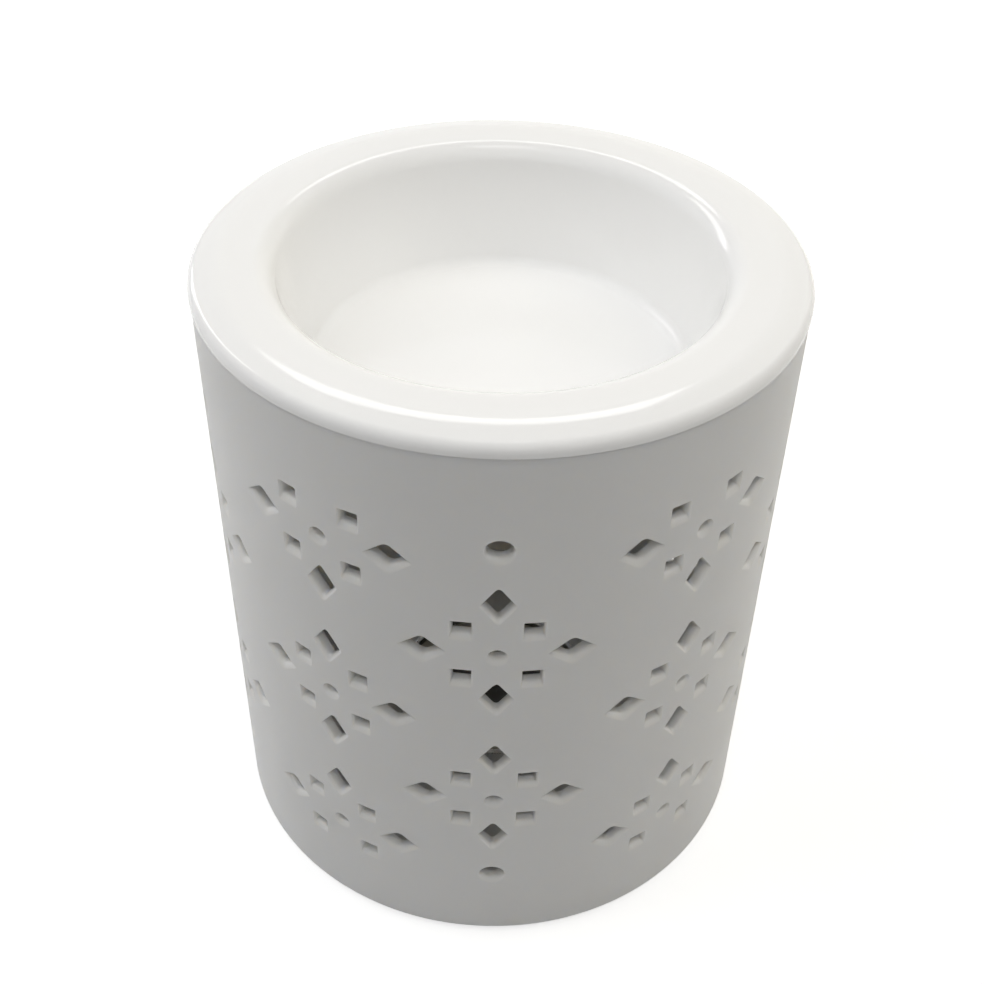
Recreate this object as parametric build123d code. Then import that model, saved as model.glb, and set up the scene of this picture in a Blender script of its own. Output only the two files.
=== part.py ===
from build123d import *
import math
import os

# Overall sizes, in millimetres
rim_diameter = 99.6
total_height = 115.0

# Burner body: a straight pierced cup that stands on a foot ring with a bevelled edge
rim_overhang = 0.2
body_wall = 2.2
floor_thickness = 3.5
foot_ring_width = 5.0
foot_recess = 1.0
foot_bevel = 1.0
base_round = 1.2
mouth_round = 0.25

# Oil dish: a bowl hung from a flange whose edge slopes, with a collar that centres it in the body
flange_thickness = 3.0
flange_top_round = 1.7
flange_under_round = 0.2
rim_slope_width = 4.5
rim_slope_drop = 0.9
rim_ridge_round = 4.0
rim_width = 13.0
lip_round = 3.5
bowl_depth = 21.0
bowl_draw_in = 5.0
bowl_wall = 3.3
bowl_base = 3.5
bowl_fillet = 2.0
bowl_under_round = 4.0
collar_clearance = 0.5
collar_width = 3.0
collar_depth = 4.0
collar_round = 0.6

# Pierced flakes: each repeat has a long column, and a short one whose flakes lie between
repeats = 5
long_column_turn = -32.3
long_column_low = 22.8
long_column_high = 20.8
short_column_turn = 0.8
short_column_drop = 1.1
short_column_stretch = 0.9
flake_web = 2.0
lone_dot_low = 17.5
lone_dot_high = 17.0
lone_dot_diameter = 4.6
centre_dot_diameter = 3.2
square_width = 3.4
square_height = 3.4
square_across = 5.6
square_up = 5.2
square_round = 0.35
side_diamond_length = 7.8
side_diamond_height = 5.2
side_diamond_across = 11.8
upright_diamond_width = 5.6
upright_diamond_height = 7.5
upright_diamond_up = 10.2
diamond_point_round = 0.4
diamond_shoulder_round = 1.1
cut_margin = 1.5

# Tea light: a pressed cup that holds a wax candle, with a wick in a sheet-metal tab
cup_diameter = 38.0
cup_height = 11.5
cup_seat_gap = 0.05
cup_sheet = 0.3
cup_corner_round = 1.2
cup_curl_diameter = 0.9
wax_clearance = 0.3
wax_height = 9.6
wax_round = 0.8
wick_diameter = 1.5
wick_clearance = 0.05
wick_rise = 5.0
wick_tip_round = 0.4
tab_diameter = 15.0
tab_sheet = 0.3
neck_wall = 0.4
neck_height = 4.0

rim_radius = rim_diameter / 2
body_radius = rim_radius - rim_overhang
body_inner_radius = body_radius - body_wall
body_height = total_height - flange_thickness
cup_radius = cup_diameter / 2
wick_radius = wick_diameter / 2
cup_floor = floor_thickness + cup_seat_gap
wax_floor = cup_floor + cup_sheet


# A solid of revolution from corners of radius, height and rounding
def turned(corners):
    outline = [(radius, height) for radius, height, rounding in corners]
    section = make_face(Polyline(*outline, close=True))
    for radius, height, rounding in corners:
        if rounding:
            corner = section.vertices().sort_by_distance((radius, height, 0))[0]
            section = fillet(corner, rounding)
    return revolve(Plane.XZ * section, Axis.Z)


# The plane that touches the body at a turn from the front and a height
def wall_plane(turn, height):
    angle = math.radians(turn)
    outward = Vector(math.sin(angle), -math.cos(angle), 0)
    along = Vector(math.cos(angle), math.sin(angle), 0)
    return Plane(origin=outward * body_radius + Vector(0, 0, height), x_dir=along, z_dir=outward)


def diamond(width, height, side_round, end_round):
    points = [(width / 2, 0), (0, height / 2), (-width / 2, 0), (0, -height / 2)]
    shape = make_face(Polyline(*points, close=True))
    for point in points:
        corner = shape.vertices().sort_by_distance((*point, 0))[0]
        shape = fillet(corner, end_round if point[0] == 0 else side_round)
    return shape


# A flake's holes: how far across, how far up, and the outline of each
def flake_holes():
    square = RectangleRounded(square_width, square_height, square_round)
    side = diamond(
        side_diamond_length, side_diamond_height, diamond_point_round, diamond_shoulder_round
    )
    upright = diamond(
        upright_diamond_width, upright_diamond_height, diamond_point_round, diamond_shoulder_round
    )
    holes = [(0, 0, Circle(centre_dot_diameter / 2))]
    holes += [(0, up * upright_diamond_up, upright) for up in (-1, 1)]
    for across in (-1, 1):
        holes.append((across * side_diamond_across, 0, side))
        holes += [(across * square_across, up * square_up, square) for up in (-1, 1)]
    return holes


def pierce(outline, turn, height):
    start = wall_plane(turn, height).offset(cut_margin)
    return extrude(start * outline, -(body_wall + 2 * cut_margin))


# The cuts of one flake, which can go without its lowest or highest diamond
def flake_cuts(holes, turn, height, lacks=None):
    cuts = []
    for across, up, outline in holes:
        if up != lacks:
            cuts.append(pierce(outline, turn + math.degrees(across / body_radius), height + up))
    return cuts


# The long column holds as many flakes as leave the web between them; the short one holds one less
def repeat_cuts():
    holes = flake_holes()
    length = body_height - long_column_high - long_column_low
    least_pitch = 2 * upright_diamond_up + upright_diamond_height + flake_web
    steps = max(1, int(length / least_pitch))
    pitch = length / steps
    cuts = []
    for step in range(steps + 1):
        lacks = {0: -upright_diamond_up, steps: upright_diamond_up}.get(step)
        cuts += flake_cuts(holes, long_column_turn, long_column_low + step * pitch, lacks)
    lowest = long_column_low + pitch / 2 - short_column_drop
    for step in range(steps):
        cuts += flake_cuts(holes, short_column_turn, lowest + step * (pitch + short_column_stretch))
    for height in (lone_dot_low, body_height - lone_dot_high):
        cuts.append(pierce(Circle(lone_dot_diameter / 2), short_column_turn, height))
    return cuts


def burner_body():
    foot_inner = body_radius - foot_ring_width
    shell = turned([
        (0, foot_recess, 0),
        (foot_inner, foot_recess, 0),
        (foot_inner, 0, 0),
        (body_radius - foot_bevel, 0, 0),
        (body_radius, foot_bevel, base_round),
        (body_radius, body_height, mouth_round),
        (body_inner_radius, body_height, mouth_round),
        (body_inner_radius, floor_thickness, base_round),
        (0, floor_thickness, 0),
    ])
    step = 360 / repeats
    cuts = repeat_cuts()
    return shell - [Rot(0, 0, step * k) * cut for k in range(repeats) for cut in cuts]


def oil_dish():
    mouth = rim_radius - rim_width
    seat = total_height - flange_thickness
    bowl_floor = total_height - bowl_depth
    under = bowl_floor - bowl_base
    collar = body_inner_radius - collar_clearance
    return turned([
        (0, under, 0),
        (mouth - bowl_draw_in + bowl_wall, under, bowl_under_round),
        (mouth + bowl_wall, seat, 0),
        (collar - collar_width, seat, 0),
        (collar - collar_width, seat - collar_depth, collar_round),
        (collar, seat - collar_depth, collar_round),
        (collar, seat, 0),
        (rim_radius, seat, flange_under_round),
        (rim_radius, total_height - rim_slope_drop, flange_top_round),
        (rim_radius - rim_slope_width, total_height, rim_ridge_round),
        (mouth, total_height, lip_round),
        (mouth - bowl_draw_in, bowl_floor, bowl_fillet),
        (0, bowl_floor, 0),
    ])


def tealight_cup():
    inner = cup_radius - cup_sheet
    bottom = cup_floor
    top = bottom + cup_height
    cup = turned([
        (0, bottom, 0),
        (cup_radius, bottom, cup_corner_round),
        (cup_radius, top, 0),
        (inner, top, 0),
        (inner, bottom + cup_sheet, cup_corner_round - cup_sheet),
        (0, bottom + cup_sheet, 0),
    ])
    curl = Torus(cup_radius, cup_curl_diameter / 2)
    return cup + Pos(0, 0, top - cup_curl_diameter / 2) * curl


def wick_tab():
    bore = wick_radius + wick_clearance
    neck = bore + neck_wall
    return turned([
        (bore, wax_floor, 0),
        (tab_diameter / 2, wax_floor, 0),
        (tab_diameter / 2, wax_floor + tab_sheet, 0),
        (neck, wax_floor + tab_sheet, 0),
        (neck, wax_floor + neck_height, 0),
        (bore, wax_floor + neck_height, 0),
    ])


def tealight_wax():
    bore = wick_radius + wick_clearance
    neck = bore + neck_wall + wick_clearance
    radius = cup_radius - cup_sheet - wax_clearance
    tab = tab_diameter / 2 + wick_clearance
    return turned([
        (tab, wax_floor, 0),
        (radius, wax_floor, cup_corner_round),
        (radius, wax_floor + wax_height, wax_round),
        (bore, wax_floor + wax_height, 0),
        (bore, wax_floor + neck_height + wick_clearance, 0),
        (neck, wax_floor + neck_height + wick_clearance, 0),
        (neck, wax_floor + tab_sheet, 0),
        (tab, wax_floor + tab_sheet, 0),
    ])


def wick():
    top = wax_floor + wax_height + wick_rise
    return turned([
        (0, wax_floor, 0),
        (wick_radius, wax_floor, 0),
        (wick_radius, top, wick_tip_round),
        (0, top, 0),
    ])


pieces = {
    "burner_body": burner_body,
    "oil_dish": oil_dish,
    "tealight_cup": tealight_cup,
    "tealight_wax": tealight_wax,
    "wick": wick,
    "wick_tab": wick_tab,
}

os.makedirs("parts", exist_ok=True)
for name, make in pieces.items():
    export_step(make(), f"parts/{name}.step")
    print(name)
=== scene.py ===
import math
import bmesh
import bpy
from mathutils import Matrix, Vector


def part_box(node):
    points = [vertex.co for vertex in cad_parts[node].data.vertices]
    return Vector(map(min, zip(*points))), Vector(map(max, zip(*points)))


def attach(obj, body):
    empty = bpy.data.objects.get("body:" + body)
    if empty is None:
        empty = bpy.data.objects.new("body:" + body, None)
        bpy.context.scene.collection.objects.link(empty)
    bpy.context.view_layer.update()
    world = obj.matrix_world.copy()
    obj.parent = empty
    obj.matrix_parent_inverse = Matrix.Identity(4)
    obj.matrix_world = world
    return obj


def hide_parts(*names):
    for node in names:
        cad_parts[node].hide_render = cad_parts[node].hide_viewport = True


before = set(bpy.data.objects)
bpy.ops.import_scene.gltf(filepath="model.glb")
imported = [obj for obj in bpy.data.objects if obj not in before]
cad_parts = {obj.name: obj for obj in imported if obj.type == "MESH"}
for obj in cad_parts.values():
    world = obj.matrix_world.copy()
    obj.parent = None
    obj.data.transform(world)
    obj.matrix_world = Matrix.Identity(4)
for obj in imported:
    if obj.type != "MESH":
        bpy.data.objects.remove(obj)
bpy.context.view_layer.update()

mm = 0.001
mergeReach = 0.002 * mm     # vertices closer than this are one
cutReach = 0.001 * mm       # vertices closer than this to a cut are on it
noiseSpan = (0.3, 0.7)      # most of a noise lies between these
print("frame loaded:", sorted(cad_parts))


# Helpers that several pieces share

def finishPiece(bm, name, body, node, material):
    mesh = bpy.data.meshes.new(name)
    bm.to_mesh(mesh)
    bm.free()
    mesh.shade_smooth()
    mesh.materials.append(material)
    piece = bpy.data.objects.new(name, mesh)
    bpy.context.scene.collection.objects.link(piece)
    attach(piece, body)
    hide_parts(node)
    print(name, "made,", len(mesh.polygons), "faces")
    return piece


# A wire through corners of radius, height and rounding in millimetres, drawn on the XZ plane
def drawProfile(bm, corners, steps):
    verts = [bm.verts.new((radius * mm, 0, height * mm)) for radius, height, rounding in corners]
    for first, second in zip(verts, verts[1:]):
        bm.edges.new((first, second))
    turns = [(vert.co - before.co).angle(after.co - vert.co)
             for before, vert, after in zip(verts, verts[1:], verts[2:])]
    for vert, turn, (radius, height, rounding) in zip(verts[1:], turns, corners[1:]):
        if rounding:
            reach = rounding * math.tan(turn / 2) * mm
            bmesh.ops.bevel(bm, geom=[vert], offset=reach, offset_type="OFFSET", segments=steps,
                            profile=0.5, affect="VERTICES", material=-1)


def spinRound(bm, steps):
    bmesh.ops.spin(bm, geom=bm.verts[:] + bm.edges[:], cent=(0, 0, 0), axis=(0, 0, 1),
                   angle=math.tau, steps=steps, use_merge=True)
    bmesh.ops.remove_doubles(bm, verts=bm.verts[:], dist=mergeReach)
    bmesh.ops.recalc_face_normals(bm, faces=bm.faces[:])


def vertsOf(geom):
    return [part for part in geom if isinstance(part, bmesh.types.BMVert)]


# The edges that join the given vertices to each other
def edgesAmong(verts):
    own = set(verts)
    return list({edge for vert in verts for edge in vert.link_edges if edge.other_vert(vert) in own})


# Shader node groups and materials

def newGroup(name, inputs, outputs):
    group = bpy.data.node_groups.new(name, "ShaderNodeTree")
    for label, kind, value in inputs:
        socket = group.interface.new_socket(label, in_out="INPUT", socket_type=kind)
        if value is not None:
            socket.default_value = value
    for label, kind in outputs:
        group.interface.new_socket(label, in_out="OUTPUT", socket_type=kind)
    return group, group.nodes.new("NodeGroupInput"), group.nodes.new("NodeGroupOutput")


def addNode(tree, kind, values=(), **settings):
    node = tree.nodes.new(kind)
    for name, value in settings.items():
        setattr(node, name, value)
    for socket, value in dict(values).items():
        node.inputs[socket].default_value = value
    return node


def addNoise(tree, place, scale, detail):
    noise = addNode(tree, "ShaderNodeTexNoise", {"Scale": scale, "Detail": detail})
    tree.links.new(place, noise.inputs["Vector"])
    return noise.outputs["Fac"]


def addRange(tree, value, low, high, newLow, newHigh):
    ranged = addNode(tree, "ShaderNodeMapRange",
                     {"From Min": low, "From Max": high, "To Min": newLow, "To Max": newHigh})
    tree.links.new(value, ranged.inputs["Value"])
    return ranged.outputs["Result"]


def addColour(tree, colour):
    plain = addNode(tree, "ShaderNodeRGB")
    plain.outputs[0].default_value = (*colour, 1)
    return plain.outputs[0]


def addMix(tree, factor, first, second):
    mix = addNode(tree, "ShaderNodeMix", data_type="RGBA")
    tree.links.new(factor, mix.inputs["Factor"])
    for source, socket in ((first, mix.inputs["A"]), (second, mix.inputs["B"])):
        tree.links.new(source, socket)
    return mix.outputs["Result"]


def addMath(tree, operation, first, second):
    sums = addNode(tree, "ShaderNodeMath", operation=operation)
    for source, socket in zip((first, second), sums.inputs):
        if isinstance(source, (int, float)):
            socket.default_value = source
        else:
            tree.links.new(source, socket)
    return sums.outputs["Value"]


# Scales are in waves per metre; the others are shares and heights of the skin
skinMake = {
    "cloudScale": 34.0, "cloudRange": (0.15, 0.85), "edgeShare": 0.6,
    "streakScale": 120.0, "streakRange": (0.2, 0.8),
    "rippleScale": 70.0, "peelScale": 620.0, "peelShare": 0.10,
    "pitScale": 260.0, "pitReach": 0.07, "pitHeight": -0.5,
}


# Glaze over pottery: clouds of thicker and thinner glaze, thin edges, and a skin that is never quite flat
def glazeSkinGroup(make):
    group, given, out = newGroup("glazeSkin", [
        ("Place", "NodeSocketVector", None),
        ("Thin Edge", "NodeSocketFloat", 0.0),
        ("Thick Color", "NodeSocketColor", (0.8, 0.8, 0.8, 1)),
        ("Thin Color", "NodeSocketColor", (0.7, 0.7, 0.7, 1)),
        ("Clay Color", "NodeSocketColor", (0.8, 0.78, 0.74, 1)),
        ("Low Roughness", "NodeSocketFloat", 0.1),
        ("High Roughness", "NodeSocketFloat", 0.2),
    ], [("Color", "NodeSocketColor"), ("Roughness", "NodeSocketFloat"), ("Height", "NodeSocketFloat")])
    place = given.outputs["Place"]
    clouds = addNoise(group, place, make["cloudScale"], 4.0)
    cloudMask = addRange(group, clouds, *make["cloudRange"], 0.0, 1.0)
    cloudy = addMix(group, cloudMask, given.outputs["Thick Color"], given.outputs["Thin Color"])
    edgeMask = addMath(group, "MULTIPLY", given.outputs["Thin Edge"], make["edgeShare"])
    colour = addMix(group, edgeMask, cloudy, given.outputs["Clay Color"])
    streaks = addNoise(group, place, make["streakScale"], 5.0)
    low, high = make["streakRange"]
    rough = addNode(group, "ShaderNodeMapRange", {"From Min": low, "From Max": high})
    group.links.new(streaks, rough.inputs["Value"])
    group.links.new(given.outputs["Low Roughness"], rough.inputs["To Min"])
    group.links.new(given.outputs["High Roughness"], rough.inputs["To Max"])
    ripple = addNoise(group, place, make["rippleScale"], 2.0)
    peel = addNoise(group, place, make["peelScale"], 2.0)
    pits = addNode(group, "ShaderNodeTexVoronoi", {"Scale": make["pitScale"]})
    group.links.new(place, pits.inputs["Vector"])
    pitMask = addRange(group, pits.outputs["Distance"], 0.0, make["pitReach"], make["pitHeight"], 0.0)
    height = addMath(group, "ADD", ripple, addMath(group, "MULTIPLY", peel, make["peelShare"]))
    height = addMath(group, "ADD", height, pitMask)
    made = {"Color": colour, "Roughness": rough.outputs["Result"], "Height": height}
    for label, source in made.items():
        group.links.new(source, out.inputs[label])
    return group


glazeSkin = glazeSkinGroup(skinMake)


def startMaterial(name):
    material = bpy.data.materials.new(name)
    material.use_nodes = True
    tree = material.node_tree
    return material, tree, tree.nodes["Principled BSDF"]


def addBump(tree, shader, height, strength, distance):
    bump = addNode(tree, "ShaderNodeBump", {"Strength": strength, "Distance": distance})
    tree.links.new(height, bump.inputs["Height"])
    tree.links.new(bump.outputs["Normal"], shader.inputs["Normal"])


def glazeMaterial(name, look):
    material, tree, shader = startMaterial(name)
    place = addNode(tree, "ShaderNodeTexCoord")
    edge = addNode(tree, "ShaderNodeAttribute", attribute_name="thinEdge")
    skin = addNode(tree, "ShaderNodeGroup", node_tree=glazeSkin)
    for label in ("Thick Color", "Thin Color", "Clay Color"):
        skin.inputs[label].default_value = (*look[label], 1)
    skin.inputs["Low Roughness"].default_value = look["Roughness"][0]
    skin.inputs["High Roughness"].default_value = look["Roughness"][1]
    tree.links.new(place.outputs["Object"], skin.inputs["Place"])
    tree.links.new(edge.outputs["Fac"], skin.inputs["Thin Edge"])
    tree.links.new(skin.outputs["Color"], shader.inputs["Base Color"])
    tree.links.new(skin.outputs["Roughness"], shader.inputs["Roughness"])
    shader.inputs["IOR"].default_value = look["IOR"]
    shader.inputs["Coat Weight"].default_value = look["Coat"]
    shader.inputs["Coat Roughness"].default_value = look["Coat Roughness"]
    shader.inputs["Subsurface Weight"].default_value = look["Translucent"]
    shader.inputs["Subsurface Radius"].default_value = look["Light Spread"]
    shader.inputs["Subsurface Scale"].default_value = look["Light Depth"] * mm
    addBump(tree, shader, skin.outputs["Height"], look["Bump"], look["Bump Depth"] * mm)
    return material


# The pierced body: one flat tile of the pattern, bent round and repeated
# Lengths are in millimetres and turns in degrees
bodyMake = {
    "wall": 2.2, "floorTop": 3.5, "footWidth": 5.0, "footRecess": 1.0,
    "bevel": 1.0, "bevelTurn": 45, "baseRound": 1.2,
    "mouthRound": 0.25, "repeats": 5, "tileStart": -51.75, "bendStep": 2.25,
    "longTurn": -32.3, "longLow": 22.8, "longHigh": 20.8,
    "shortTurn": 0.8, "shortDrop": 1.1, "shortStretch": 0.9,
    "dotWide": 4.8, "dotTall": 4.4, "dotLow": 17.5, "dotHigh": 17.0,
    "centreWide": 3.5, "centreTall": 3.0, "centreDrop": 0.5,
    "squareWide": 3.7, "squareTall": 3.6, "squareAcross": 5.6, "squareUp": 5.2, "squareDrop": 0.3,
    "sideWide": 8.2, "sideTall": 5.6, "sideAcross": 11.8,
    "uprightWide": 5.9, "uprightTall": 7.9, "uprightUp": 10.2,
    "squareRound": 0.35, "pointRound": 0.4, "shoulderRound": 0.9,
    "flareAcross": 0.3, "flareUp": 0.42, "throatLift": 0.3, "flareDeep": 0.75,
    "flareSteps": 6, "flareFrom": 22, "throatFrom": 1.4, "throatThin": 0.2, "edgeThin": 0.3,
    "lipDrop": {"centre": 0.7, "dot": 0.5, "square": 0.45, "side": 0.8, "upright": 0.3},
    "holdEdge": 0.12, "innerEdge": 0.25, "dotSides": 20, "cornerSteps": 4,
}
bodyLook = {
    # The body's white is set lower than the dish's: that lowering is painted shade, which keeps the body's
    # walls dark while the lamps are bright enough for the bowl
    "Thick Color": (0.80, 0.80, 0.795), "Thin Color": (0.78, 0.78, 0.775),
    "Clay Color": (0.84, 0.83, 0.80),
    "Roughness": (0.42, 0.52), "IOR": 1.45, "Coat": 0.0, "Coat Roughness": 0.2,
    "Translucent": 0.9, "Light Depth": 1.8, "Light Spread": (1.0, 0.95, 0.85),
    "Bump": 0.12, "Bump Depth": 0.05,
}


# Each hole of a flake: across, up, kind
def flakeHoles(make):
    holes = [(0, -make["centreDrop"], "centre")]
    holes += [(0, side * make["uprightUp"], "upright") for side in (-1, 1)]
    for across in (-1, 1):
        holes.append((across * make["sideAcross"], 0, "side"))
        for up in (-1, 1):
            height = up * make["squareUp"] - make["squareDrop"]
            holes.append((across * make["squareAcross"], height, "square"))
    return holes


# Every hole of one tile: turn from the front in degrees, height and kind
def tileHoles(make, radius, top):
    holes = []
    pitch = (top - make["longHigh"] - make["longLow"]) / 2
    flakes = [(make["longTurn"], make["longLow"] + step * pitch, lacks)
              for step, lacks in enumerate((-make["uprightUp"], None, make["uprightUp"]))]
    shortLow = make["longLow"] + pitch / 2 - make["shortDrop"]
    flakes += [(make["shortTurn"], shortLow + step * (pitch + make["shortStretch"]), None)
               for step in range(2)]
    for turn, height, lacks in flakes:
        for across, up, kind in flakeHoles(make):
            if up != lacks:
                holes.append((turn + math.degrees(across / radius), height + up, kind))
    for height in (make["dotLow"], top - make["dotHigh"]):
        holes.append((make["shortTurn"], height, "dot"))
    return holes


# Half the width and height of a hole where it meets the surface
def holeHalf(make, kind):
    return make[kind + "Wide"] / 2, make[kind + "Tall"] / 2


# How a hole's wall goes in: share of the flare, extra margin, depth and how thin the glaze lies there
def holePath(make):
    path = [(1, make["holdEdge"], 0, 0), (1, 0, 0, make["edgeThin"])]
    start = math.radians(make["flareFrom"])
    for step in range(1, make["flareSteps"] + 1):
        turn = start + (math.pi / 2 - start) * step / make["flareSteps"]
        share = (1 - math.sin(turn)) / (1 - math.sin(start))
        path.append((share, 0, make["flareDeep"] * (1 - math.cos(turn) / math.cos(start)), 1))
    path.append((0, 0, make["flareDeep"] * make["throatFrom"], make["throatThin"]))
    path.append((0, 0, make["wall"] - make["innerEdge"], 0))
    path.append((0, make["innerEdge"], make["wall"], 0))
    return path


# Draws one hole's outline flat, with its corners rounded
def drawHole(bm, make, centre, kind, half):
    place = Matrix.Translation(centre) @ Matrix.Diagonal((half[0] * mm, half[1] * mm, 1, 1))
    if kind in ("centre", "dot"):
        return bmesh.ops.create_circle(bm, segments=make["dotSides"], radius=1, matrix=place)["verts"]
    square = kind == "square"
    reach = math.sqrt(2) if square else 1
    turn = Matrix.Rotation(math.radians(45 if square else 0), 4, "Z")
    corners = bmesh.ops.create_circle(bm, segments=4, radius=reach, matrix=place @ turn)["verts"]
    verts = []
    for corner in corners:
        pointed = abs(corner.co.x - centre.x) > abs(corner.co.y - centre.y)
        rounding = make["squareRound" if square else "pointRound" if pointed else "shoulderRound"]
        verts += bmesh.ops.bevel(bm, geom=[corner], offset=rounding * mm, offset_type="OFFSET",
                                 segments=make["cornerSteps"], profile=0.5, affect="VERTICES",
                                 material=-1)["verts"]
    return verts


# Draws the next ring of a hole's wall, scaled about the hole's centre and moved into the wall
def nextRing(bm, verts, centre, scale, move):
    made = vertsOf(bmesh.ops.extrude_edge_only(bm, edges=edgesAmong(verts))["geom"])
    bmesh.ops.scale(bm, vec=(*scale, 1), space=Matrix.Translation(-centre), verts=made)
    bmesh.ops.translate(bm, vec=move * mm, verts=made)
    return made


def drawBorder(bm, left, right, low, high, sink):
    corners = [(left, low), (right, low), (right, high), (left, high)]
    verts = [bm.verts.new((across, up * mm, -sink * mm)) for across, up in corners]
    return [bm.edges.new((verts[k], verts[(k + 1) % 4])) for k in range(4)]


# The height where the straight wall ends and the rounding into the foot's bevel starts
def bevelTop(make):
    return make["bevel"] + make["baseRound"] * math.tan(math.radians(make["bevelTurn"] / 2))


def flatTile(make, radius, top):
    bm = bmesh.new()
    thin = bm.verts.layers.float.new("thinEdge")
    left = math.radians(make["tileStart"]) * radius * mm
    right = left + math.tau / make["repeats"] * radius * mm
    high = top - make["mouthRound"]
    outer = drawBorder(bm, left, right, bevelTop(make), high, 0)
    path = holePath(make)

    # Half sizes and shift of a hole's ring; its lower lip hangs below the throat
    def ringAt(kind, share, margin, depth):
        across, up = holeHalf(make, kind)
        drawn = 1 - share
        lip = make["lipDrop"][kind] / 2 * share
        half = (across - make["flareAcross"] * drawn + margin, up - make["flareUp"] * drawn + lip + margin)
        return half, Vector((0, make["throatLift"] * drawn - lip, -depth))

    holes = []
    for turn, height, kind in tileHoles(make, radius, top):
        half, shift = ringAt(kind, *path[0][:3])
        centre = Vector((math.radians(turn) * radius, height, 0)) * mm + shift * mm
        verts = drawHole(bm, make, centre, kind, half)
        holes.append((verts, centre, kind))
        outer += edgesAmong(verts)
    bmesh.ops.triangle_fill(bm, use_beauty=True, use_dissolve=False, edges=outer, normal=(0, 0, 1))
    inside = drawBorder(bm, left, right, make["floorTop"] + make["baseRound"], high, make["wall"])
    for verts, centre, kind in holes:
        half, shift = ringAt(kind, *path[0][:3])
        for share, margin, depth, thinness in path[1:]:
            newHalf, newShift = ringAt(kind, share, margin, depth)
            scale = (newHalf[0] / half[0], newHalf[1] / half[1])
            verts = nextRing(bm, verts, centre, scale, newShift - shift)
            centre = centre + (newShift - shift) * mm
            half, shift = newHalf, newShift
            for vert in verts:
                vert[thin] = thinness
        inside += edgesAmong(verts)
    bmesh.ops.triangle_fill(bm, use_beauty=True, use_dissolve=False, edges=inside, normal=(0, 0, -1))
    cuts = round(360 / make["repeats"] / make["bendStep"])
    for cut in range(1, cuts):
        across = left + (right - left) * cut / cuts
        bmesh.ops.bisect_plane(bm, geom=bm.verts[:] + bm.edges[:] + bm.faces[:], dist=cutReach,
                               plane_co=(across, 0, 0), plane_no=(1, 0, 0))
    return bm


# Bends the flat tile: across becomes the way round, up becomes height and depth goes inwards
def bendTile(bm, radius):
    for vert in bm.verts:
        turn = vert.co.x / (radius * mm)
        reach = radius * mm + vert.co.z
        vert.co = (reach * math.sin(turn), -reach * math.cos(turn), vert.co.y)


# The open edges that lie at one radius and height, in millimetres
def rimEdges(bm, radius, height):
    near = 0.02 * mm
    return [edge for edge in bm.edges if edge.is_boundary and all(
        abs(vert.co.xy.length - radius * mm) < near and abs(vert.co.z - height * mm) < near
        for vert in edge.verts)]


# Draws an open rim on through new radii and heights, and returns the last ring's edges
def drawOn(bm, edges, radius, path):
    for newRadius, height in path:
        made = vertsOf(bmesh.ops.extrude_edge_only(bm, edges=edges)["geom"])
        bmesh.ops.scale(bm, vec=(newRadius / radius, newRadius / radius, 1), verts=made)
        for vert in made:
            vert.co.z = height * mm
        radius = newRadius
        edges = edgesAmong(made)
    return edges


# Points on a round from one angle to another, in degrees
def arcPath(radius, height, rounding, start, end, steps=4):
    turns = [math.radians(start + (end - start) * step / steps) for step in range(1, steps + 1)]
    return [(radius + rounding * math.cos(turn), height + rounding * math.sin(turn)) for turn in turns]


# Gives the flat-filled wall the normals of a true cylinder
def evenNormals(mesh, radius, inner):
    near = 0.005 * mm
    facing = {radius: 1, inner: -1}
    normals = []
    for vert in mesh.vertices:
        out = Vector((vert.co.x, vert.co.y, 0))
        side = next((sign for reach, sign in facing.items() if abs(out.length - reach * mm) < near), 0)
        normals.append(out.normalized() * side)
    mesh.normals_split_custom_set_from_vertices(normals)


def piercedBody(make, look):
    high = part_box("burner_body")[1]
    radius, top = high.x / mm, high.z / mm
    inner = radius - make["wall"]
    bm = flatTile(make, radius, top)
    bendTile(bm, radius)
    tile = bm.verts[:] + bm.edges[:] + bm.faces[:]
    for repeat in range(1, make["repeats"]):
        copy = bmesh.ops.duplicate(bm, geom=tile)["geom"]
        bmesh.ops.rotate(bm, cent=(0, 0, 0), verts=vertsOf(copy),
                         matrix=Matrix.Rotation(math.tau * repeat / make["repeats"], 3, "Z"))
    bmesh.ops.remove_doubles(bm, verts=bm.verts[:], dist=mergeReach)
    mouth, base, floor = make["mouthRound"], make["baseRound"], make["floorTop"]
    foot = radius - make["footWidth"]
    outerTop = drawOn(bm, rimEdges(bm, radius, top - mouth), radius,
                      arcPath(radius - mouth, top - mouth, mouth, 0, 90))
    innerTop = drawOn(bm, rimEdges(bm, inner, top - mouth), inner,
                      arcPath(inner + mouth, top - mouth, mouth, 180, 90))
    bmesh.ops.bridge_loops(bm, edges=outerTop + innerTop)
    under = arcPath(radius - base, bevelTop(make), base, 0, -make["bevelTurn"])
    under += [(radius - make["bevel"], 0), (foot, 0), (foot, make["footRecess"])]
    recess = drawOn(bm, rimEdges(bm, radius, bevelTop(make)), radius, under)
    bmesh.ops.edgeloop_fill(bm, edges=recess)
    hollow = arcPath(inner - base, floor + base, base, 0, -90)
    ground = drawOn(bm, rimEdges(bm, inner, floor + base), inner, hollow)
    bmesh.ops.edgeloop_fill(bm, edges=ground)
    bmesh.ops.recalc_face_normals(bm, faces=bm.faces[:])
    body = finishPiece(bm, "piercedBody", "burner", "burner_body",
                       glazeMaterial("bodyGlaze", look))
    evenNormals(body.data, radius, inner)


piercedBody(bodyMake, bodyLook)


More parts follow.
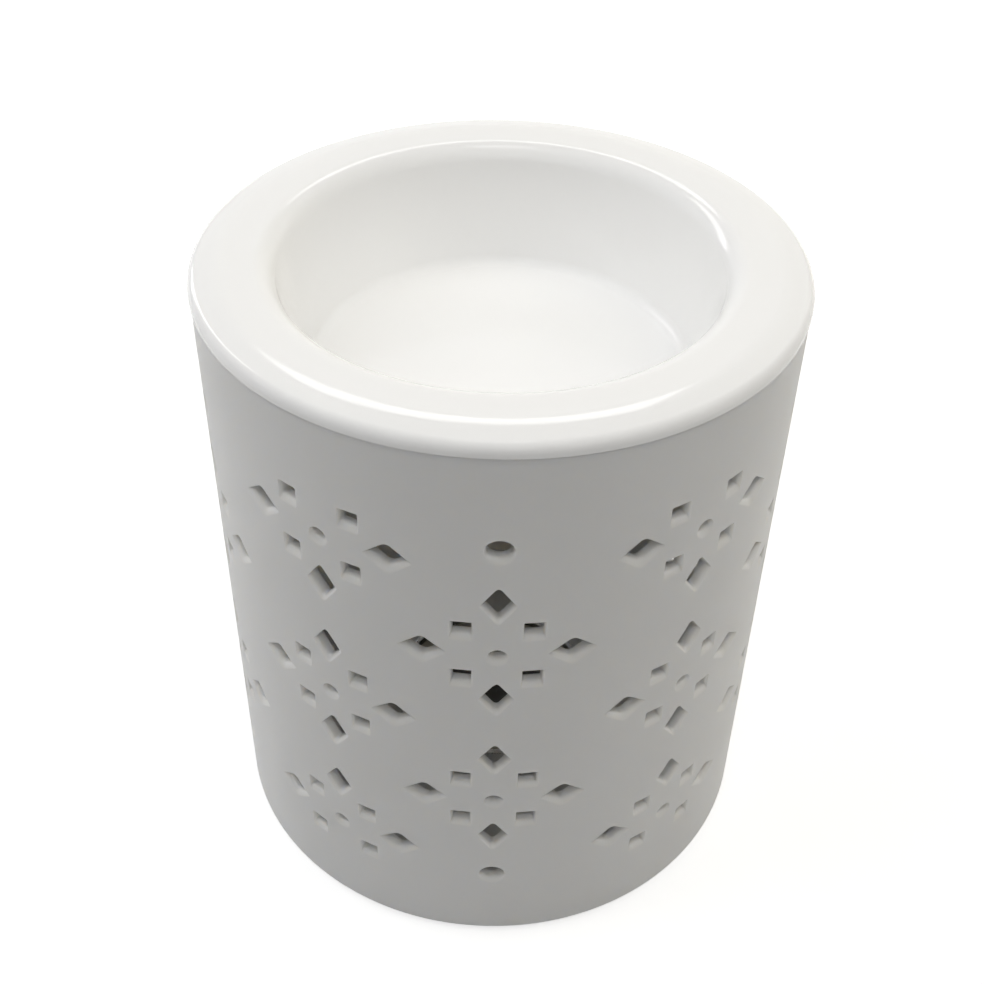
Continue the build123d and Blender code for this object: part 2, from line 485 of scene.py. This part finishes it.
# The oil dish: a bowl hung from a flat rim, with a collar under it; lengths in millimetres
dishMake = {
    "rim": 13.0, "flange": 3.0, "topRound": 1.7, "underRound": 0.2, "lipRound": 3.5,
    "slopeWide": 4.5, "slopeDrop": 0.9, "ridgeRound": 10.0,
    "bowlDepth": 21.0, "drawIn": 5.0, "bowlWall": 3.3, "floorRound": 2.0, "heelRound": 4.0,
    "collarOut": 2.9, "collarWide": 3.0, "collarDeep": 4.0, "collarRound": 0.6, "rootRound": 0.3,
    "roundSteps": 12, "spinSteps": 288,
}
dishLook = {
    "Thick Color": (0.96, 0.96, 0.956), "Thin Color": (0.95, 0.95, 0.945),
    "Clay Color": (0.88, 0.87, 0.84),
    "Roughness": (0.08, 0.13), "IOR": 1.5, "Coat": 0.1, "Coat Roughness": 0.05,
    "Translucent": 0.0, "Light Depth": 1.0, "Light Spread": (1.0, 0.95, 0.85),
    "Bump": 0.015, "Bump Depth": 0.05,
}


def glazedDish(make, look):
    low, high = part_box("oil_dish")
    radius, top, under = high.x / mm, high.z / mm, low.z / mm
    mouth = radius - make["rim"]
    seat = top - make["flange"]
    ground = top - make["bowlDepth"]
    heel = mouth - make["drawIn"]
    collar = radius - make["collarOut"]
    bm = bmesh.new()
    drawProfile(bm, [
        (0, under, 0),
        (heel + make["bowlWall"], under, make["heelRound"]),
        (mouth + make["bowlWall"], seat, make["rootRound"]),
        (collar - make["collarWide"], seat, make["rootRound"]),
        (collar - make["collarWide"], seat - make["collarDeep"], make["collarRound"]),
        (collar, seat - make["collarDeep"], make["collarRound"]),
        (collar, seat, make["rootRound"]),
        (radius, seat, make["underRound"]),
        (radius, top - make["slopeDrop"], make["topRound"]),
        (radius - make["slopeWide"], top, make["ridgeRound"]),
        (mouth, top, make["lipRound"]),
        (heel, ground, make["floorRound"]),
        (0, ground, 0),
    ], make["roundSteps"])
    spinRound(bm, make["spinSteps"])
    dish = finishPiece(bm, "glazedDish", "dish", "oil_dish",
                       glazeMaterial("dishGlaze", look))
    weighted = dish.modifiers.new("evenFlats", "WEIGHTED_NORMAL")
    weighted.keep_sharp = False


glazedDish(dishMake, dishLook)


# The tea light: a ribbed aluminium cup with a rolled rim, dark wax, and a twisted wick in a tab
sheetMake = {
    "lineStretch": (60, 60, 4200), "smudgeScale": 210.0, "smudgeRange": (0.42, 0.66),
    "roughRange": (0.16, 0.28), "dullRough": 0.16, "bumpDepth": 0.02,
}


# Sheet metal that has been rolled and handled: fine lines round the piece, smudges and a dull bloom
def rolledMetalGroup(make):
    group, given, out = newGroup("rolledMetal", [
        ("Place", "NodeSocketVector", None),
        ("Bright Color", "NodeSocketColor", (0.8, 0.8, 0.8, 1)),
        ("Dull Color", "NodeSocketColor", (0.6, 0.6, 0.6, 1)),
    ], [("Color", "NodeSocketColor"), ("Roughness", "NodeSocketFloat"), ("Height", "NodeSocketFloat")])
    place = given.outputs["Place"]
    stretch = addNode(group, "ShaderNodeMapping")
    stretch.inputs["Scale"].default_value = make["lineStretch"]
    group.links.new(place, stretch.inputs["Vector"])
    lines = addNoise(group, stretch.outputs["Vector"], 1.0, 3.0)
    smudges = addNoise(group, place, make["smudgeScale"], 4.0)
    dull = addRange(group, smudges, *make["smudgeRange"], 0.0, 1.0)
    colour = addMix(group, dull, given.outputs["Bright Color"], given.outputs["Dull Color"])
    drawn = addRange(group, lines, *noiseSpan, *make["roughRange"])
    rough = addMath(group, "ADD", drawn, addMath(group, "MULTIPLY", dull, make["dullRough"]))
    for label, source in {"Color": colour, "Roughness": rough, "Height": lines}.items():
        group.links.new(source, out.inputs[label])
    return group


rolledMetal = rolledMetalGroup(sheetMake)


def metalMaterial(name, bright, dull, bump):
    material, tree, shader = startMaterial(name)
    place = addNode(tree, "ShaderNodeTexCoord")
    skin = addNode(tree, "ShaderNodeGroup", {"Bright Color": (*bright, 1), "Dull Color": (*dull, 1)},
                   node_tree=rolledMetal)
    tree.links.new(place.outputs["Object"], skin.inputs["Place"])
    tree.links.new(skin.outputs["Color"], shader.inputs["Base Color"])
    tree.links.new(skin.outputs["Roughness"], shader.inputs["Roughness"])
    shader.inputs["Metallic"].default_value = 1.0
    addBump(tree, shader, skin.outputs["Height"], bump, sheetMake["bumpDepth"] * mm)
    return material


cupMake = {
    "sheet": 0.3, "curl": 0.9, "cornerRound": 1.2, "ribs": 48, "ribDeep": 0.12, "ribEnd": 1.6,
    "curlSteps": 14, "roundSteps": 5, "wallCuts": 12, "wallLeast": 5.0, "spinSteps": 192,
    "brightColor": (0.83, 0.83, 0.84), "dullColor": (0.66, 0.66, 0.67), "bump": 0.2,
}


def ribbedCup(make):
    low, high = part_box("tealight_cup")
    curl = make["curl"] / 2
    radius, bottom, top = high.x / mm - curl, low.z / mm, high.z / mm
    inner = radius - make["sheet"]
    bm = bmesh.new()
    meet = 180 + math.degrees(math.acos(make["sheet"] / curl))
    rolled = arcPath(radius, top - curl, curl, -90, meet, make["curlSteps"])
    curled = [(reach, height, 0) for reach, height in rolled]
    drawProfile(bm, [
        (0, bottom, 0),
        (radius, bottom, make["cornerRound"]),
        (radius, top - make["curl"], 0),
        *curled,
        (inner, bottom + make["sheet"], make["cornerRound"] - make["sheet"]),
        (0, bottom + make["sheet"], 0),
    ], make["roundSteps"])
    wall = [edge for edge in bm.edges
            if abs(edge.verts[0].co.z - edge.verts[1].co.z) > make["wallLeast"] * mm]
    bmesh.ops.subdivide_edges(bm, edges=wall, cuts=make["wallCuts"])
    spinRound(bm, make["spinSteps"])
    for vert in bm.verts:
        reach = vert.co.xy.length
        up = min(vert.co.z / mm - bottom, top - vert.co.z / mm) - make["ribEnd"]
        if reach > (inner - 0.01) * mm and up > 0:
            turn = math.atan2(vert.co.y, vert.co.x)
            deep = make["ribDeep"] * min(1, up) * (1 - math.cos(turn * make["ribs"])) / 2
            vert.co.xy *= 1 - deep * mm / reach
    finishPiece(bm, "ribbedCup", "tealight", "tealight_cup",
                metalMaterial("cupAluminium", make["brightColor"], make["dullColor"], make["bump"]))


waxMake = {
    "bore": 0.8, "tab": 7.55, "tabDeep": 0.35, "neck": 1.25, "neckTall": 4.05, "baseRound": 1.2,
    "dip": 0.25, "dipReach": 3.0, "dipRound": 1.0, "edgeIn": 2.6, "edgeDip": 0.8, "edgeRound": 1.6,
    # Towards the cup the wax turns to its pale colour: a ring of painted light
    "rise": 0.25, "riseRound": 0.12, "roundSteps": 5, "spinSteps": 96, "paintedLightStart": 9.5, "paintedLightFull": 13.0,
    "darkMiddleColor": (0.080, 0.077, 0.073), "bloomColor": (0.130, 0.126, 0.120), "paleColor": (0.46, 0.43, 0.36),
    "cloudScale": 160.0, "patchRange": (0.4, 0.7), "skinScale": 420.0,
    "roughRange": (0.38, 0.55), "bump": 0.25, "bumpDepth": 0.06,
}


# Dark wax, darkest in the middle, with bloom in patches and an uneven skin; its paler ring towards the cup
# is painted light
def waxMaterial(make):
    material, tree, shader = startMaterial("darkWax")
    place = addNode(tree, "ShaderNodeTexCoord").outputs["Object"]
    clouds = addNoise(tree, place, make["cloudScale"], 5.0)
    patches = addRange(tree, clouds, *make["patchRange"], 0.0, 1.0)
    middleTone = addMix(tree, patches, addColour(tree, make["darkMiddleColor"]), addColour(tree, make["bloomColor"]))
    flat = addNode(tree, "ShaderNodeVectorMath", {1: (1, 1, 0)}, operation="MULTIPLY")
    tree.links.new(place, flat.inputs[0])
    reach = addNode(tree, "ShaderNodeVectorMath", operation="LENGTH")
    tree.links.new(flat.outputs["Vector"], reach.inputs[0])
    # A ring of painted light: the wax turns pale towards the cup
    ring = addRange(tree, reach.outputs["Value"], make["paintedLightStart"] * mm, make["paintedLightFull"] * mm, 0.0, 1.0)
    colour = addMix(tree, ring, middleTone, addColour(tree, make["paleColor"]))
    tree.links.new(colour, shader.inputs["Base Color"])
    rough = addRange(tree, clouds, *noiseSpan, *make["roughRange"])
    tree.links.new(rough, shader.inputs["Roughness"])
    skin = addNoise(tree, place, make["skinScale"], 3.0)
    addBump(tree, shader, skin, make["bump"], make["bumpDepth"] * mm)
    return material


def darkWax(make):
    low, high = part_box("tealight_wax")
    radius, bottom, top = high.x / mm, low.z / mm, high.z / mm
    start = (make["bore"], top - make["dip"] / 2, 0)
    bm = bmesh.new()
    drawProfile(bm, [
        start,
        (make["dipReach"], top - make["dip"], make["dipRound"]),
        (radius - make["edgeIn"], top - make["dip"] * make["edgeDip"], make["edgeRound"]),
        (radius, top + make["rise"], make["riseRound"]),
        (radius, bottom, make["baseRound"]),
        (make["tab"], bottom, 0),
        (make["tab"], bottom + make["tabDeep"], 0),
        (make["neck"], bottom + make["tabDeep"], 0),
        (make["neck"], bottom + make["neckTall"], 0),
        (make["bore"], bottom + make["neckTall"], 0),
        start,
    ], make["roundSteps"])
    spinRound(bm, make["spinSteps"])
    finishPiece(bm, "darkWax", "tealight", "tealight_wax", waxMaterial(make))


wickMake = {
    "plies": 3, "plyDeep": 0.10, "sides": 24, "twist": 24.0, "rings": 40, "lean": 0.07, "leanFrom": 13.4,
    "tipRings": 2, "tipScale": 0.82, "paleColor": (0.62, 0.58, 0.5), "shadeColor": (0.40, 0.36, 0.29),
    "fibreScale": 900.0, "fuzzScale": 1500.0, "roughRange": (0.75, 0.95), "bump": 0.4, "bumpDepth": 0.05,
}


def cottonMaterial(make):
    material, tree, shader = startMaterial("wickCotton")
    place = addNode(tree, "ShaderNodeTexCoord").outputs["Object"]
    waves = {"Scale": make["fibreScale"], "Distortion": 3.0, "Detail": 3.0}
    fibre = addNode(tree, "ShaderNodeTexWave", waves, bands_direction="DIAGONAL")
    tree.links.new(place, fibre.inputs["Vector"])
    shade, pale = addColour(tree, make["shadeColor"]), addColour(tree, make["paleColor"])
    tree.links.new(addMix(tree, fibre.outputs["Fac"], shade, pale), shader.inputs["Base Color"])
    fuzz = addNoise(tree, place, make["fuzzScale"], 2.0)
    rough = addRange(tree, fuzz, *noiseSpan, *make["roughRange"])
    tree.links.new(rough, shader.inputs["Roughness"])
    addBump(tree, shader, fibre.outputs["Fac"], make["bump"], make["bumpDepth"] * mm)
    return material


# Three plies twisted together: a lobed ring drawn up the wick, turned at each step and leaning at the top
def twistedWick(make):
    low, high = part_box("wick")
    bm = bmesh.new()
    foot = Matrix.Translation((0, 0, low.z))
    ring = bmesh.ops.create_circle(bm, segments=make["sides"], radius=high.x, matrix=foot)["verts"]
    for vert in ring:
        lobe = (1 - math.cos(math.atan2(vert.co.y, vert.co.x) * make["plies"])) / 2
        vert.co.xy *= 1 - make["plyDeep"] * mm * lobe / high.x
    bmesh.ops.edgeloop_fill(bm, edges=edgesAmong(ring))
    rise = (high.z - low.z) / make["rings"]
    leanFrom = make["leanFrom"] * mm
    turn = Matrix.Rotation(math.radians(make["twist"]), 3, "Z")
    for step in range(make["rings"]):
        ring = vertsOf(bmesh.ops.extrude_edge_only(bm, edges=edgesAmong(ring))["geom"])
        centre = sum((vert.co for vert in ring), Vector()) / len(ring)
        free = max(0, centre.z - leanFrom) / (high.z - leanFrom)
        bmesh.ops.rotate(bm, cent=centre, matrix=turn, verts=ring)
        bmesh.ops.translate(bm, vec=(make["lean"] * mm * free, 0, rise), verts=ring)
        if step >= make["rings"] - make["tipRings"]:
            bmesh.ops.scale(bm, vec=(make["tipScale"], make["tipScale"], 1),
                            space=Matrix.Translation(-centre), verts=ring)
    bmesh.ops.edgeloop_fill(bm, edges=edgesAmong(ring))
    bmesh.ops.recalc_face_normals(bm, faces=bm.faces[:])
    finishPiece(bm, "twistedWick", "tealight", "wick", cottonMaterial(make))


ribbedCup(cupMake)
darkWax(waxMake)
twistedWick(wickMake)

# The tab keeps its solid and takes a tinplate finish
tabLook = {"brightColor": (0.62, 0.62, 0.61), "dullColor": (0.48, 0.47, 0.45), "bump": 0.3}
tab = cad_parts["wick_tab"]
tab.data.materials.clear()
tab.data.materials.append(
    metalMaterial("tabTinplate", tabLook["brightColor"], tabLook["dullColor"], tabLook["bump"]))
print("tea light made")


# The floor, the light and the camera
stageMake = {
    "floorWide": 6.0, "floorColor": (0.62, 0.62, 0.62), "floorRough": 0.9,
    "floorGlow": 0.6, "glowFrom": 0.25, "glowTo": 0.9, "bounces": 10,
    "horizonLevel": 0.005, "zenithLevel": 0.01, "skyFrom": 0.15, "skyTo": 0.95,
    # Name, place, width and height, power in watts, colour: fills light, and strips are seen in the glaze
    "fills": [
        ("overhead", (0.0, 0.15, 1.1), (0.75, 0.75), 1.0, (1.0, 1.0, 1.0)),
        ("left", (-0.72, 0.06, 0.95), (0.8, 0.8), 5.1, (1.0, 1.0, 1.0)),
        ("right", (0.72, 0.06, 0.95), (0.8, 0.8), 4.9, (1.0, 0.965, 0.88)),
        ("front", (0.0, -0.66, 0.9), (0.55, 0.55), 2.65, (1.0, 1.0, 1.0)),
        ("backLeft", (-0.85, 0.85, 0.36), (1.2, 0.5), 3.6, (1.0, 1.0, 1.0)),
        ("backRight", (0.5, 1.09, 0.36), (1.2, 0.5), 5.2, (1.0, 0.94, 0.8)),
    ],
    "strips": [
        ("topStrip", (0.0, 0.0, 1.15), (0.25, 0.25), 0.39, (1.0, 1.0, 1.0)),
        ("backStrip", (-0.06, 0.86, 1.05), (0.66, 0.27), 1.65, (1.0, 1.0, 1.0)),
        ("leftStrip", (-0.784, 0.841, 0.676), (0.22, 0.93), 1.9, (1.0, 1.0, 1.0)),
        ("rightStrip", (0.784, 0.841, 0.676), (0.07, 0.93), 0.3, (1.0, 1.0, 1.0)),
    ],
    "aimHeight": 57.4, "distance": 265.3, "elevation": 41.05, "roll": 1.3,
    "sensor": 36, "lens": 52.09, "shift": (-0.0038, 0.0314), "clipStart": 0.01,
}


def backgroundMask(tree):
    path = addNode(tree, "ShaderNodeLightPath")
    seen = addMath(tree, "MAXIMUM", path.outputs["Is Camera Ray"], path.outputs["Is Glossy Ray"])
    return addMath(tree, "MAXIMUM", seen, path.outputs["Is Transmission Ray"])


def paleFloor(make):
    material, tree, shader = startMaterial("paleFloor")
    shader.inputs["Base Color"].default_value = (*make["floorColor"], 1)
    shader.inputs["Roughness"].default_value = make["floorRough"]
    shader.inputs["Specular IOR Level"].default_value = 0.0
    shader.inputs["Emission Color"].default_value = (1, 1, 1, 1)
    reach = addNode(tree, "ShaderNodeVectorMath", operation="LENGTH")
    tree.links.new(addNode(tree, "ShaderNodeTexCoord").outputs["Object"], reach.inputs[0])
    level = addRange(tree, reach.outputs["Value"], make["glowFrom"], make["glowTo"],
                     make["floorGlow"], 1.0)     # white far off, and dimmer where the shadow falls
    glow = addMath(tree, "MULTIPLY", backgroundMask(tree), level)
    tree.links.new(glow, shader.inputs["Emission Strength"])
    bm = bmesh.new()
    bmesh.ops.create_grid(bm, x_segments=1, y_segments=1, size=make["floorWide"] / 2)
    mesh = bpy.data.meshes.new("paleFloor")
    bm.to_mesh(mesh)
    bm.free()
    mesh.materials.append(material)
    floor = bpy.data.objects.new("paleFloor", mesh)
    bpy.context.scene.collection.objects.link(floor)


def whiteWorld(make):
    world = bpy.data.worlds.new("studio")
    bpy.context.scene.world = world
    world.use_nodes = True
    tree = world.node_tree
    ground = tree.nodes["Background"]
    split = addNode(tree, "ShaderNodeSeparateXYZ")
    tree.links.new(addNode(tree, "ShaderNodeTexCoord").outputs["Generated"], split.inputs["Vector"])
    sky = addRange(tree, split.outputs["Z"], make["skyFrom"], make["skyTo"],
                   make["horizonLevel"], make["zenithLevel"])
    lift = addMath(tree, "MULTIPLY", backgroundMask(tree), addMath(tree, "SUBTRACT", 1.0, sky))
    tree.links.new(addMath(tree, "ADD", sky, lift), ground.inputs["Strength"])
    ground.inputs["Color"].default_value = (1, 1, 1, 1)


def softLights(make):
    aim = Vector((0, 0, make["aimHeight"] * mm))
    strips = [strip[0] for strip in make["strips"]]
    for name, place, size, power, colour in make["fills"] + make["strips"]:
        light = bpy.data.lights.new(name, "AREA")
        light.shape = "RECTANGLE"
        light.size, light.size_y = size
        light.energy = power
        light.color = colour
        lamp = bpy.data.objects.new(name, light)
        lamp.location = place
        lamp.rotation_euler = (aim - Vector(place)).to_track_quat("-Z", "Y").to_euler()
        lamp.visible_camera = False
        lamp.visible_glossy = name in strips
        lamp.visible_diffuse = not lamp.visible_glossy
        bpy.context.scene.collection.objects.link(lamp)


def photoCamera(make):
    lens = bpy.data.cameras.new("photoCamera")
    lens.sensor_width = make["sensor"]
    lens.lens = make["lens"]
    lens.shift_x, lens.shift_y = make["shift"]
    lens.clip_start = make["clipStart"]
    camera = bpy.data.objects.new("photoCamera", lens)
    tilt = math.radians(make["elevation"])
    back = Vector((0, -math.cos(tilt), math.sin(tilt)))
    place = Vector((0, 0, make["aimHeight"] * mm)) + back * make["distance"] * mm
    facing = (-back).to_track_quat("-Z", "Y").to_matrix().to_4x4()
    roll = Matrix.Rotation(math.radians(make["roll"]), 4, "Z")
    camera.matrix_world = Matrix.Translation(place) @ facing @ roll
    bpy.context.scene.collection.objects.link(camera)
    bpy.context.scene.camera = camera


paleFloor(stageMake)
whiteWorld(stageMake)
softLights(stageMake)
photoCamera(stageMake)
bpy.context.scene.view_settings.view_transform = "Standard"
bpy.context.scene.cycles.diffuse_bounces = stageMake["bounces"]     # white pottery passes light on
print("stage, light and camera set")
